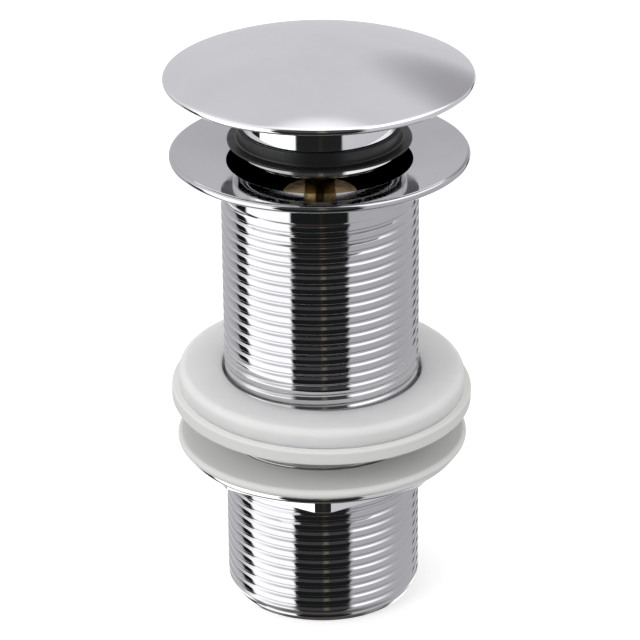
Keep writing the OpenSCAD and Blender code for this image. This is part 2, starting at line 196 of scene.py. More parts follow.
def power(name, description, default):
    """A property that holds the power of a light."""
    return FloatProperty(name=name, description=description, default=default, min=0.0, unit="POWER")


class WasteSizes(bpy.types.PropertyGroup):
    """Sizes of the visible pieces that the frame's boxes don't give."""

    columns: IntProperty(name="Columns", description="Steps round a turned piece", default=192, min=48)
    thread_pitch: length("Thread pitch", "Rise of the tail's thread in one turn", 2.309 * MM)
    groove_width: length("Groove width", "Width of the thread's groove at the crests", 1.25 * MM)
    groove_floor: length("Groove floor", "Width of the thread's groove at its bottom", 0.35 * MM)
    groove_depth: length("Groove depth", "Depth of the thread's groove", 0.42 * MM)
    crest_round: length("Crest round", "Round on the upper edge of the thread's crest", 0.4 * MM)
    crest_foot: length("Crest foot", "Round on the lower edge of the thread's crest", 0.12 * MM)
    root_round: length("Root round", "Round at the bottom of the thread's groove", 0.12 * MM)
    collar: length("Collar", "Plain length between the flange and the thread", 6.7 * MM)
    dish: length("Dish", "Depth of the flange's dish at the mouth of the throat", 2.0 * MM)
    seat: length("Seat radius", "Inside radius of the flat seat under the flange's rim", 27.5 * MM)
    cone: length("Cone", "Height of the cone between that seat and the tail", 2.4 * MM)
    cone_fillet: length("Cone fillet", "Fillet between the cone and the tail", 0.4 * MM)
    lead_height: length("Lead-in height", "Height of the lead-in at the tail's end", 3.0 * MM)
    lead_depth: length("Lead-in depth", "Depth of the lead-in at the tail's end", 1.6 * MM)
    throat: length("Throat radius", "Radius of the bore that the plug drops into", 19.6 * MM)
    mouth_round: length("Mouth round", "Round on the mouth of the throat", 0.2 * MM)
    cap_height: length("Cap height", "Height of the cap's dome over its rim", 8.2 * MM)
    cap_thickness: length("Cap thickness", "Thickness of the cap", 1.5 * MM)
    cap_boss: length("Cap boss radius", "Radius of the boss under the cap", 9.0 * MM)
    stud: length("Stud radius", "Radius of the cap's stud", 4.0 * MM)
    stud_gap: length("Stud gap", "Room round the stud where it passes the neck", 0.1 * MM)
    neck_bore: length("Neck bore radius", "Inside radius of the plug's neck", 14.2 * MM)
    neck_web: length("Neck web", "Thickness of the neck's top", 2.5 * MM)
    neck_round: length("Neck round", "Round on the neck's upper edge", 1.0 * MM)
    spigot: length("Spigot radius", "Radius of the spigot that the seal is fitted on", 15.6 * MM)
    spigot_gap: length("Spigot gap", "Room between the spigot and what is fitted on it", 0.03 * MM)
    seal_collar: length("Seal collar radius", "Outside radius of the seal's collar", 17.4 * MM)
    lip_thickness: length("Lip thickness", "Thickness of the seal's lip, with a round edge", 0.6 * MM)
    lip_root: length("Lip root", "Fillet between the lip and the collar", 0.4 * MM)
    retainer_bevel: length("Retainer bevel", "Bevel on the lower edge of the retainer", 0.8 * MM)
    nut_gap: length("Nut gap", "Room between the nut's crests and the tail", 0.1 * MM)
    nut_chamfer: length("Nut chamfer", "Chamfer at the ends of the nut's thread", 0.6 * MM)
    hex_flat: length("Nut flat", "Distance from the nut's axis to a flat", 22.3 * MM)
    hex_corner: length("Nut corner", "Radius that the nut's corners are turned to", 24.8 * MM)
    hex_height: length("Nut hexagon height", "Height of the nut's hexagon", 4.9 * MM)
    gasket_radius: length("Gasket radius", "Outside radius of the gasket", 30.85 * MM)
    gasket_thickness: length("Gasket thickness", "Thickness of the gasket", 4.2 * MM)
    gasket_round: length("Gasket round", "Round on the gasket's upper edge", 1.6 * MM)
    backing_radius: length("Backing ring radius", "Outside radius of the backing ring", 32.35 * MM)
    backing_thickness: length("Backing ring thickness", "Thickness of the backing ring", 3.1 * MM)
    backing_round: length("Backing ring round", "Round on the backing ring's edges", 0.5 * MM)
    gasket_slack: length("Gasket slack", "Room between the tail and the gasket pair", 0.6 * MM)
    washer_slack: length("Washer slack", "Room between the tail and the slip washer", 0.3 * MM)
    gasket_lean: angle("Gasket lean", "How far the loose gasket pair leans", 2.4)
    lean_side: angle("Lean side", "Where the low side of the gasket pair is, from +X", -57.0)
    soft_edge: length("Soft edge", "Round on the edges of rubber and plastic rings", 0.3 * MM)
    fine_edge: length("Fine edge", "Small round on machined edges", 0.25 * MM)


class WasteFinishes(bpy.types.PropertyGroup):
    """Colours and gloss of the finishes."""

    chrome: colour("Chrome", "Tint of the chrome plate", (0.89, 0.89, 0.90))
    # Painted shade: the flange and tail get a darker copy of the chrome plate, which dims their reflections
    tail_chrome_shaded: colour("Tail chrome", "Tint of the duller plate on the flange and tail", (0.62, 0.62, 0.635))
    chrome_gloss: share("Chrome roughness", "Roughness of the chrome plate", 0.045)
    rubber: colour("Rubber", "Colour of the seal", (0.014, 0.015, 0.0145))
    silicone: colour("Silicone", "Colour of the gasket", (0.82, 0.815, 0.81))
    plastic: colour("White plastic", "Colour of the washer and the backing ring", (0.80, 0.79, 0.765))
    brass: colour("Brass", "Colour of the machined brass", (0.42, 0.30, 0.14))
    steel: colour("Steel", "Colour of the spring steel", (0.55, 0.56, 0.58))
    acetal: colour("Acetal", "Colour of the drum", (0.78, 0.77, 0.71))
    fibre: colour("Fibre", "Colour of the washer under the cap", (0.35, 0.06, 0.04))


class WasteStudio(bpy.types.PropertyGroup):
    """Camera, floor and light."""

    elevation: angle("Elevation", "Camera's height angle", 24.88)
    roll: angle("Roll", "Camera's turn about its view", -0.54)
    distance: length("Distance", "Camera's distance from its aim", 0.708)
    aim_height: length("Aim height", "Height of the camera's aim on the axis", 63.04 * MM)
    aim_left: length("Aim left", "How far left of the axis the camera aims", 0.25 * MM)
    lens: FloatProperty(name="Lens", description="Focal length of the camera", default=185.6, unit="CAMERA")
    floor: colour("Floor", "Colour of the floor", (0.90, 0.90, 0.90))
    floor_glow: share("Floor glow", "Light that the floor gives by itself, like a lit table", 0.45)
    ambient: FloatProperty(name="Ambient", description="Light that falls from all round",
                           default=1.02, min=0.0)
    overhead: power("Overhead light", "Power of the light above", 3.2)
    front: power("Front light", "Power of the light left of the camera", 2.0)


def rounded(corners, closed=True, steps=CORNER_STEPS):
    """Profile through (r, z, fillet) corners, each one turned to its fillet."""
    points = []
    count = len(corners)
    for i, (r, z, fillet) in enumerate(corners):
        here = Vector((r, z))
        if fillet == 0 or (not closed and i in (0, count - 1)):
            points.append(here)
            continue
        before = (Vector(corners[i - 1][:2]) - here).normalized()
        after = (Vector(corners[(i + 1) % count][:2]) - here).normalized()
        half = before.angle(after) / 2
        centre = here + (before + after).normalized() * fillet / math.sin(half)
        first = here + before * fillet / math.tan(half) - centre
        last = here + after * fillet / math.tan(half) - centre
        sweep = first.angle_signed(last)
        for k in range(steps + 1):
            a = -sweep * k / steps
            points.append(centre + Vector((first.x * math.cos(a) - first.y * math.sin(a),
                                           first.x * math.sin(a) + first.y * math.cos(a))))
    return [(p.x, p.y) for p in points]


def arc(centre, radius, start, end, steps):
    """Points of a profile along an arc, with its angles in degrees from the +r axis."""
    angles = [math.radians(start + (end - start) * k / steps) for k in range(steps + 1)]
    return [(centre[0] + radius * math.cos(a), centre[1] + radius * math.sin(a)) for a in angles]


def supported(profile, closed=True, inset=0.05 * MM, shortest=1.0 * MM):
    """The profile with a point close to each end of its long straight stretches.

    These points keep the stretches flat to light where the edges beside them are smooth."""
    points = []
    following = profile[1:] + profile[:1] if closed else profile[1:]
    for here, there in zip(profile, following):
        points.append(here)
        span = math.dist(here, there)
        if span > shortest:
            for part in (inset / span, 1 - inset / span):
                points.append(tuple(a + (b - a) * part for a, b in zip(here, there)))
    return points if closed else points + profile[-1:]


def turn_profile(mesh, profile, columns, closed=True, outline=None):
    """Adds to a bmesh the surface that a profile of (r, z) points sweeps round the Z axis.

    outline(r, angle) gives the radius of a piece that isn't round."""
    rows = []
    for r, z in profile:
        if r < AXIS:
            rows.append([mesh.verts.new((0.0, 0.0, z))] * columns)
            continue
        row = []
        for c in range(columns):
            a = 2 * math.pi * c / columns
            radius = outline(r, a) if outline else r
            row.append(mesh.verts.new((radius * math.cos(a), radius * math.sin(a), z)))
        rows.append(row)
    for low, high in zip(rows, rows[1:] + rows[:1] if closed else rows[1:]):
        for c in range(columns):
            d = (c + 1) % columns
            corners = list(dict.fromkeys((low[c], low[d], high[d], high[c])))
            if len(corners) > 2:
                mesh.faces.new(corners)


def thread_section(sizes):
    """One pitch of the thread as (drop, rise) points, from the middle of one groove to that of the next."""
    pitch = sizes.thread_pitch
    half = sizes.groove_width / 2
    floor = sizes.groove_floor / 2
    corners = []
    for middle in (-pitch, 0.0, pitch):
        corners += [(0.0, middle - half, sizes.crest_round),
                    (-sizes.groove_depth, middle - floor, sizes.root_round),
                    (-sizes.groove_depth, middle + floor, sizes.root_round),
                    (0.0, middle + half, sizes.crest_foot)]
    return [p for p in rounded(corners, closed=False) if -ROUNDING <= p[1] < pitch - ROUNDING]


def turn_thread(mesh, section, pitch, low, high, radius_at, columns):
    """Adds to a bmesh a right-hand thread between two heights. radius_at(drop, z) gives its radius.

    Rows past an end lie on its end circle, where the merge of the finished piece takes them up."""
    per_turn = len(section)
    first = math.floor(low / pitch) - 1
    last = math.ceil(high / pitch) + 1
    levels = [(k * pitch + rise, drop) for k in range(first, last) for drop, rise in section]
    grid = []
    for c in range(columns):
        a = 2 * math.pi * c / columns
        column = []
        for level, drop in levels:
            z = min(max(level + pitch * c / columns, low), high)
            r = radius_at(drop, z)
            column.append(mesh.verts.new((r * math.cos(a), r * math.sin(a), z)))
        grid.append(column)
    for c in range(columns):
        wrap = per_turn if c == columns - 1 else 0
        here, beside = grid[c], grid[(c + 1) % columns]
        for j in range(len(levels) - 1 - wrap):
            mesh.faces.new((here[j], beside[j + wrap], beside[j + 1 + wrap], here[j + 1]))


def finish_piece(mesh, name, node, material, sharp=35.0, place=None):
    """Merges and closes a bmesh, and hands it over as the piece that stands for a CAD node.

    Edges that turn by more than sharp degrees stay sharp, and place is a matrix that moves the mesh."""
    bmesh.ops.remove_doubles(mesh, verts=mesh.verts, dist=MERGE)
    bmesh.ops.dissolve_degenerate(mesh, edges=mesh.edges, dist=SLIVER)
    loose = [v for v in mesh.verts if not v.link_faces]
    bmesh.ops.delete(mesh, geom=loose, context="VERTS")
    bmesh.ops.recalc_face_normals(mesh, faces=mesh.faces)
    if place:
        bmesh.ops.transform(mesh, matrix=place, verts=mesh.verts)
    data = bpy.data.meshes.new(name)
    mesh.to_mesh(data)
    mesh.free()
    data.polygons.foreach_set("use_smooth", [True] * len(data.polygons))
    data.set_sharp_from_angle(angle=math.radians(sharp))
    piece = bpy.data.objects.new(name, data)
    bpy.context.scene.collection.objects.link(piece)
    data.materials.append(material)
    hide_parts(node)
    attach(piece, BODY_OF[node])
    return piece


def turned_piece(name, node, profile, material, columns, closed=True, place=None):
    """A piece turned from one profile."""
    mesh = bmesh.new()
    turn_profile(mesh, supported(profile, closed), columns, closed)
    return finish_piece(mesh, name, node, material, place=place)


def new_finish(name):
    """A new material with its tree and its shader, or one that is there already with neither."""
    material = bpy.data.materials.get(name)
    if material:
        return material, None, None
    material = bpy.data.materials.new(name)
    material.use_nodes = True
    return material, material.node_tree, material.node_tree.nodes["Principled BSDF"]


def add_node(tree, kind, settings=None, **inputs):
    """A node of a tree with some of its settings and inputs set."""
    node = tree.nodes.new(kind)
    for key, value in (settings or {}).items():
        setattr(node, key, value)
    for key, value in inputs.items():
        node.inputs[key.replace("_", " ")].default_value = value
    return node


def noise_of(tree, scale, detail=4.0, roughness=0.55, stretch=(1, 1, 1)):
    """Noise fixed to the object, with its scale per metre."""
    place = tree.nodes.new("ShaderNodeTexCoord")
    mapping = add_node(tree, "ShaderNodeMapping", Scale=stretch)
    noise = add_node(tree, "ShaderNodeTexNoise", Scale=scale, Detail=detail, Roughness=roughness)
    tree.links.new(place.outputs["Object"], mapping.inputs["Vector"])
    tree.links.new(mapping.outputs["Vector"], noise.inputs["Vector"])
    return noise.outputs["Fac"]


def stops_ramp(tree, source, stops):
    """A colour ramp through (place, colour) stops. A colour may be one grey number."""
    ramp = tree.nodes.new("ShaderNodeValToRGB")
    elements = ramp.color_ramp.elements
    while len(elements) < len(stops):
        elements.new(0.5)
    for element, (place, value) in zip(elements, stops):
        element.position = place
        element.color = (*value, 1) if hasattr(value, "__len__") else (value, value, value, 1)
    tree.links.new(source, ramp.inputs["Fac"])
    return ramp.outputs["Color"]


def spread(tree, source, low, high, start=0.35, end=0.65):
    """A ramp that carries a noise from one value, grey or colour, to another."""
    return stops_ramp(tree, source, [(start, low), (end, high)])


def bump_of(tree, shader, height, distance, strength):
    """Fine relief on a finish."""
    bump = add_node(tree, "ShaderNodeBump", Distance=distance, Strength=strength)
    tree.links.new(height, bump.inputs["Height"])
    tree.links.new(bump.outputs["Normal"], shader.inputs["Normal"])


def shades(base, change):
    """A darker and a lighter version of a colour."""
    return [c * (1 - change) for c in base], [min(1.0, c * (1 + change)) for c in base]


def chrome_finish(name, tint, gloss):
    """Bright chrome plate with faint handling marks."""
    cloud_scale, mark_scale, wave_scale = 60, 140, 500
    tint_change, clean, marked = 0.025, 0.6, 1.6
    wave_height, wave_strength = 0.01 * MM, 0.05
    material, tree, shader = new_finish(name)
    if tree is None:
        return material
    dark, light = shades(tint, tint_change)
    clouds = spread(tree, noise_of(tree, cloud_scale), dark, light)
    marks = spread(tree, noise_of(tree, mark_scale, detail=6), gloss * clean, gloss * marked)
    shader.inputs["Metallic"].default_value = 1.0
    tree.links.new(clouds, shader.inputs["Base Color"])
    tree.links.new(marks, shader.inputs["Roughness"])
    bump_of(tree, shader, noise_of(tree, wave_scale, detail=2), wave_height, wave_strength)
    return material


def moulded_finish(name, base, rough, grain, relief, change=0.03, depth=0.0):
    """A moulded rubber or plastic with a fine grain, which light enters to a depth."""
    cloud_scale, sheen_scale = 90, 300
    smoother, rougher, grain_strength = 0.85, 1.15, 0.5
    milkiness, warm_reach = 0.9, (1.0, 0.95, 0.85)
    material, tree, shader = new_finish(name)
    if tree is None:
        return material
    dark, light = shades(base, change)
    clouds = spread(tree, noise_of(tree, cloud_scale, detail=5), dark, light)
    sheen = spread(tree, noise_of(tree, sheen_scale), rough * smoother, rough * rougher)
    tree.links.new(clouds, shader.inputs["Base Color"])
    tree.links.new(sheen, shader.inputs["Roughness"])
    bump_of(tree, shader, noise_of(tree, grain, detail=3), relief, grain_strength)
    if depth:
        shader.inputs["Subsurface Weight"].default_value = milkiness
        shader.inputs["Subsurface Scale"].default_value = depth
        shader.inputs["Subsurface Radius"].default_value = warm_reach
    return material


def machined_finish(name, base, rough):
    """A turned metal with fine tool marks round the axis."""
    cloud_scale, wear_scale, mark_scale = 120, 250, 60
    tint_change, bright, worn = 0.06, 0.7, 1.3
    mark_stretch, mark_height, mark_strength = (1, 1, 90), 0.02 * MM, 0.4
    material, tree, shader = new_finish(name)
    if tree is None:
        return material
    dark, light = shades(base, tint_change)
    clouds = spread(tree, noise_of(tree, cloud_scale, detail=5), dark, light)
    wear = spread(tree, noise_of(tree, wear_scale), rough * bright, rough * worn)
    marks = noise_of(tree, mark_scale, detail=2, stretch=mark_stretch)
    shader.inputs["Metallic"].default_value = 1.0
    tree.links.new(clouds, shader.inputs["Base Color"])
    tree.links.new(wear, shader.inputs["Roughness"])
    bump_of(tree, shader, marks, mark_height, mark_strength)
    return material


def finish_for(slot, looks):
    """The finish of one of the record's material slots."""
    makers = {
        "chrome": lambda: chrome_finish("chrome_plate", looks.chrome, looks.chrome_gloss),
        "brass": lambda: machined_finish("machined_brass", looks.brass, rough=0.22),
        "steel": lambda: machined_finish("spring_steel", looks.steel, rough=0.3),
        "rubber": lambda: moulded_finish("seal_rubber", looks.rubber, rough=0.36, grain=2500,
                                         relief=0.03 * MM, change=0.15),
        "silicone": lambda: moulded_finish("gasket_silicone", looks.silicone, rough=0.5, grain=1800,
                                           relief=0.03 * MM, change=0.02, depth=5 * MM),
        "white_plastic": lambda: moulded_finish("white_plastic", looks.plastic, rough=0.42, grain=1500,
                                                relief=0.02 * MM, change=0.025, depth=5 * MM),
        "acetal": lambda: moulded_finish("drum_acetal", looks.acetal, rough=0.35, grain=1500,
                                         relief=0.02 * MM),
        "fibre": lambda: moulded_finish("washer_fibre", looks.fibre, rough=0.75, grain=1200,
                                        relief=0.05 * MM, change=0.2),
    }
    return makers[slot]()


class WASTE_OT_body(bpy.types.Operator):
    """Flange and threaded tail, with the throat, the ledge and the outlet inside"""

    bl_idname = "waste.body"
    bl_label = "Waste body"

    def execute(self, context):
        sizes = context.scene.waste_sizes
        looks = context.scene.waste_finishes
        # Painted shade: a darker copy of the chrome plate, which dims the reflections on the flange and the
        # tail
        chrome = chrome_finish("tail_chrome_plate", looks.tail_chrome_shaded, looks.chrome_gloss)
        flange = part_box("waste_body")[1]
        low = 2 * sizes.fine_edge
        high = FLANGE_Z - sizes.collar
        slope = sizes.lead_depth / sizes.lead_height
        fade = sizes.thread_pitch * TAIL_FADE
        edge = sizes.fine_edge

        def lead_in(z):
            return TAIL_R - max(0.0, sizes.lead_height - z) * slope

        def thread_radius(drop, z):
            return lead_in(z) + drop * max(0.0, min(1.0, (high - z) / fade, (z - low) / fade))

        rim = (flange.z - FLANGE_Z) / 2
        mouth_r = sizes.throat + sizes.mouth_round
        mouth_z = flange.z - sizes.dish
        slope_up = math.degrees(math.atan2(sizes.dish, flange.x - rim - mouth_r))
        profile = rounded([(TAIL_R, high, 0), (TAIL_R, FLANGE_Z - sizes.cone, sizes.cone_fillet),
                           (sizes.seat, FLANGE_Z, edge), (flange.x - rim, FLANGE_Z, 0)], closed=False)[:-1]
        profile += arc((flange.x - rim, FLANGE_Z + rim), rim, -90, 90 + slope_up, RIM_STEPS)
        profile += arc((mouth_r, mouth_z - sizes.mouth_round), sizes.mouth_round,
                       90 + slope_up, 180, MOUTH_STEPS)
        profile += rounded([(sizes.throat, mouth_z, 0), (sizes.throat, LEDGE_Z, edge),
                            (OUTLET_R, LEDGE_Z, edge), (OUTLET_R, 0, edge),
                            (lead_in(0), 0, edge), (lead_in(low), low, 0)], closed=False)[1:]
        mesh = bmesh.new()
        turn_thread(mesh, thread_section(sizes), sizes.thread_pitch, low, high, thread_radius,
                    sizes.columns)
        turn_profile(mesh, supported(profile, closed=False), sizes.columns, closed=False)
        finish_piece(mesh, "threaded_body", "waste_body", chrome)
        return {"FINISHED"}


class WASTE_OT_plug(bpy.types.Operator):
    """Cap, neck, lip seal and the ring that holds the seal"""

    bl_idname = "waste.plug"
    bl_label = "Plug"

    def execute(self, context):
        sizes = context.scene.waste_sizes
        looks = context.scene.waste_finishes
        self.make_cap(sizes, finish_for("chrome", looks))
        self.make_neck(sizes, finish_for("chrome", looks))
        self.make_seal(sizes, finish_for("rubber", looks))
        self.make_retainer(sizes, finish_for("chrome", looks))
        return {"FINISHED"}

    def make_cap(self, sizes, material):
        """A thin dome that runs into its round rim, with a boss and a stud under it."""
        low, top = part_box("plug_cap")
        edge = sizes.cap_thickness / 2
        rim_z = top.z - sizes.cap_height
        rim_r = top.x - edge
        up = sizes.cap_height - edge
        dome = (rim_r ** 2 + up ** 2 - edge ** 2) / (2 * (up - edge))
        centre = (0.0, top.z - dome)
        rim_angle = math.degrees(math.atan2(rim_z + edge - centre[1], rim_r))
        boss_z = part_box("cap_washer")[1].z
        inner = dome - sizes.cap_thickness
        boss_angle = math.degrees(math.acos(sizes.cap_boss / inner))
        profile = arc(centre, dome, 90, rim_angle, DOME_STEPS)
        profile += arc((rim_r, rim_z + edge), edge, rim_angle, rim_angle - 180, CAP_RIM_STEPS)[1:]
        profile += arc(centre, inner, rim_angle, boss_angle, UNDERSIDE_STEPS)[1:]
        profile += rounded([(sizes.cap_boss, profile[-1][1], 0), (sizes.cap_boss, boss_z, sizes.fine_edge),
                            (sizes.stud, boss_z, 0), (sizes.stud, low.z, 2 * sizes.fine_edge),
                            (0.0, low.z, 0)], closed=False)[1:]
        turned_piece("domed_cap", "plug_cap", profile, material, sizes.columns, closed=False)

    def make_neck(self, sizes, material):
        """A cup with a hole for the stud in its top and a spigot at its lower end."""
        low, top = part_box("plug_neck")
        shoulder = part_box("lip_seal")[1].z
        under_web = top.z - sizes.neck_web
        hole = sizes.stud + sizes.stud_gap
        edge = sizes.fine_edge
        profile = rounded([(hole, under_web, edge), (sizes.neck_bore, under_web, 2 * edge),
                           (sizes.neck_bore, low.z, edge), (sizes.spigot, low.z, edge),
                           (sizes.spigot, shoulder, 0), (top.x, shoulder, edge),
                           (top.x, top.z, sizes.neck_round), (hole, top.z, edge)])
        turned_piece("plug_neck_cup", "plug_neck", profile, material, sizes.columns)

    def make_seal(self, sizes, material):
        """A collar with a thin lip round its lower edge."""
        low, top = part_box("lip_seal")
        inner = sizes.spigot + sizes.spigot_gap
        collar = sizes.seal_collar
        half = sizes.lip_thickness / 2
        edge = (top.x - half, low.z + half)
        profile = [(inner, low.z)] + arc(edge, half, -90, 90, LIP_STEPS)
        profile += rounded([(edge[0], low.z + 2 * half, 0), (collar, low.z + 2 * half, sizes.lip_root),
                            (collar, top.z, sizes.soft_edge), (inner, top.z, 0)], closed=False)[1:]
        turned_piece("lip_seal_ring", "lip_seal", profile, material, sizes.columns)

    def make_retainer(self, sizes, material):
        """A short ring on the spigot, with a bevel on its lower edge."""
        low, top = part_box("seal_retainer")
        inner = sizes.spigot + sizes.spigot_gap
        bevel = sizes.retainer_bevel
        edge = sizes.fine_edge
        profile = rounded([(inner, low.z, edge), (top.x - bevel, low.z, edge), (top.x, low.z + bevel, edge),
                           (top.x, top.z, edge), (inner, top.z, edge)])
        turned_piece("seal_retainer_ring", "seal_retainer", profile, material, sizes.columns)


class WASTE_OT_nut(bpy.types.Operator):
    """Hexagon back nut with its flange and its own thread"""

    bl_idname = "waste.nut"
    bl_label = "Back nut"

    def execute(self, context):
        sizes = context.scene.waste_sizes
        chrome = finish_for("chrome", context.scene.waste_finishes)
        low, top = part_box("back_nut")
        flange_z = low.z + sizes.hex_height
        rim = (top.z - flange_z) / 2
        bore = TAIL_R + sizes.nut_gap
        edge = sizes.fine_edge
        chamfer = sizes.nut_chamfer
        columns = sizes.columns * 2

        def hexagon(radius, turn):
            off = (turn + math.pi / 6) % (math.pi / 3) - math.pi / 6
            return min(sizes.hex_flat / math.cos(off), sizes.hex_corner) + radius - sizes.hex_flat

        sides = rounded([(bore + chamfer, low.z, 0), (sizes.hex_flat, low.z, 2 * edge),
                         (sizes.hex_flat, flange_z, edge), (top.x, flange_z, 0)], closed=False)[1:-1]
        edge_round = arc((top.x - rim, flange_z + rim), rim, -90, 90, RIM_STEPS)
        flange = [sides[-1]] + edge_round + [(bore + chamfer, top.z)]

        def thread_radius(drop, z):
            from_end = min(z - low.z - chamfer, top.z - chamfer - z)
            return bore - drop * max(0.0, min(1.0, from_end / (sizes.thread_pitch * NUT_FADE)))

        mesh = bmesh.new()
        turn_profile(mesh, supported(sides, closed=False), columns, closed=False, outline=hexagon)
        self.join_flange(mesh, supported(flange, closed=False), columns, hexagon)
        turn_thread(mesh, thread_section(sizes), sizes.thread_pitch, low.z + chamfer, top.z - chamfer,
                    thread_radius, columns)
        turn_profile(mesh, [(bore, low.z + chamfer), (bore + chamfer, low.z)], columns, closed=False)
        turn_profile(mesh, [(bore, top.z - chamfer), (bore + chamfer, top.z)], columns, closed=False)
        self.close_foot(mesh, (bore + chamfer, low.z), sides[0], columns, hexagon)
        finish_piece(mesh, "flanged_nut", "back_nut", chrome, sharp=20.0)
        return {"FINISHED"}

    def join_flange(self, mesh, flange, columns, hexagon):
        """The flange, whose first ring follows the hexagon and whose others are round."""
        start = flange[0]
        turn_profile(mesh, flange[:2], columns, closed=False,
                     outline=lambda r, turn: hexagon(r, turn) if r == start[0] else r)
        turn_profile(mesh, flange[1:], columns, closed=False)

    def close_foot(self, mesh, bore, foot, columns, hexagon):
        """The nut's lower face, between its round bore and its hexagon."""
        turn_profile(mesh, [bore, foot], columns, closed=False,
                     outline=lambda r, turn: hexagon(r, turn) if r == foot[0] else r)


class WASTE_OT_rings(bpy.types.Operator):
    """Gasket, its backing ring and the slip washer"""

    bl_idname = "waste.rings"
    bl_label = "White rings"

    def execute(self, context):
        sizes = context.scene.waste_sizes
        looks = context.scene.waste_finishes
        soft = sizes.soft_edge
        middle = sizes.backing_thickness / 2
        place = self.lean_of(sizes)
        inner = TAIL_R + sizes.gasket_slack
        ring = rounded([(inner, -middle, soft), (sizes.backing_radius, -middle, sizes.backing_round),
                        (sizes.backing_radius, middle, sizes.backing_round), (inner, middle, soft)],
                       steps=RING_STEPS)
        turned_piece("backing_ring", "gasket_ring", ring, finish_for("white_plastic", looks), sizes.columns,
                     place=place)
        top = middle + sizes.gasket_thickness
        gasket = rounded([(inner, middle, soft), (sizes.gasket_radius, middle, soft),
                          (sizes.gasket_radius, top, sizes.gasket_round), (inner, top, soft)],
                         steps=GASKET_STEPS)
        turned_piece("soft_gasket", "seat_gasket", gasket, finish_for("silicone", looks), sizes.columns,
                     place=place)
        self.make_washer(sizes, finish_for("white_plastic", looks))
        return {"FINISHED"}

    def lean_of(self, sizes):
        """Carries a ring from its own middle to where the leaned backing ring lies."""
        low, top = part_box("gasket_ring")
        return (Matrix.Translation((low + top) / 2) @ Matrix.Rotation(sizes.lean_side, 4, "Z")
                @ Matrix.Rotation(sizes.gasket_lean, 4, "Y"))

    def make_washer(self, sizes, material):
        """A flat ring whose outer edge is a full round."""
        low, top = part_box("slip_washer")
        inner = TAIL_R + sizes.washer_slack
        half = (top.z - low.z) / 2
        profile = arc((top.x - half, low.z + half), half, -90, 90, RIM_STEPS)
        profile += rounded([(top.x - half, top.z, 0), (inner, top.z, sizes.soft_edge),
                            (inner, low.z, sizes.soft_edge), (top.x - half, low.z, 0)], closed=False)[1:-1]
        turned_piece("flat_washer", "slip_washer", profile, material, sizes.columns)


class WASTE_OT_spring(bpy.types.Operator):
    """Return spring, a copy of the CAD spring with its finish"""

    bl_idname = "waste.spring"
    bl_label = "Return spring"

    def execute(self, context):
        node = frame["nodes"]["return_spring"]
        spring = bpy.data.objects.new("coil_spring", node.data.copy())
        bpy.context.scene.collection.objects.link(spring)
        spring.data.materials.clear()
        spring.data.materials.append(finish_for(SLOT_OF["return_spring"], context.scene.waste_finishes))
        spring.data.polygons.foreach_set("use_smooth", [True] * len(spring.data.polygons))
        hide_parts("return_spring")
        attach(spring, BODY_OF["return_spring"])
        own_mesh(spring)
        return {"FINISHED"}


class WASTE_OT_cartridge(bpy.types.Operator):
    """Finishes of the bridge and the click cartridge, which keep their CAD shapes"""

    bl_idname = "waste.cartridge"
    bl_label = "Bridge and cartridge"

    def execute(self, context):
        looks = context.scene.waste_finishes
        for name, piece in frame["nodes"].items():
            if piece.hide_render:
                continue
            piece.data.materials.clear()
            piece.data.materials.append(finish_for(SLOT_OF[name], looks))
        return {"FINISHED"}


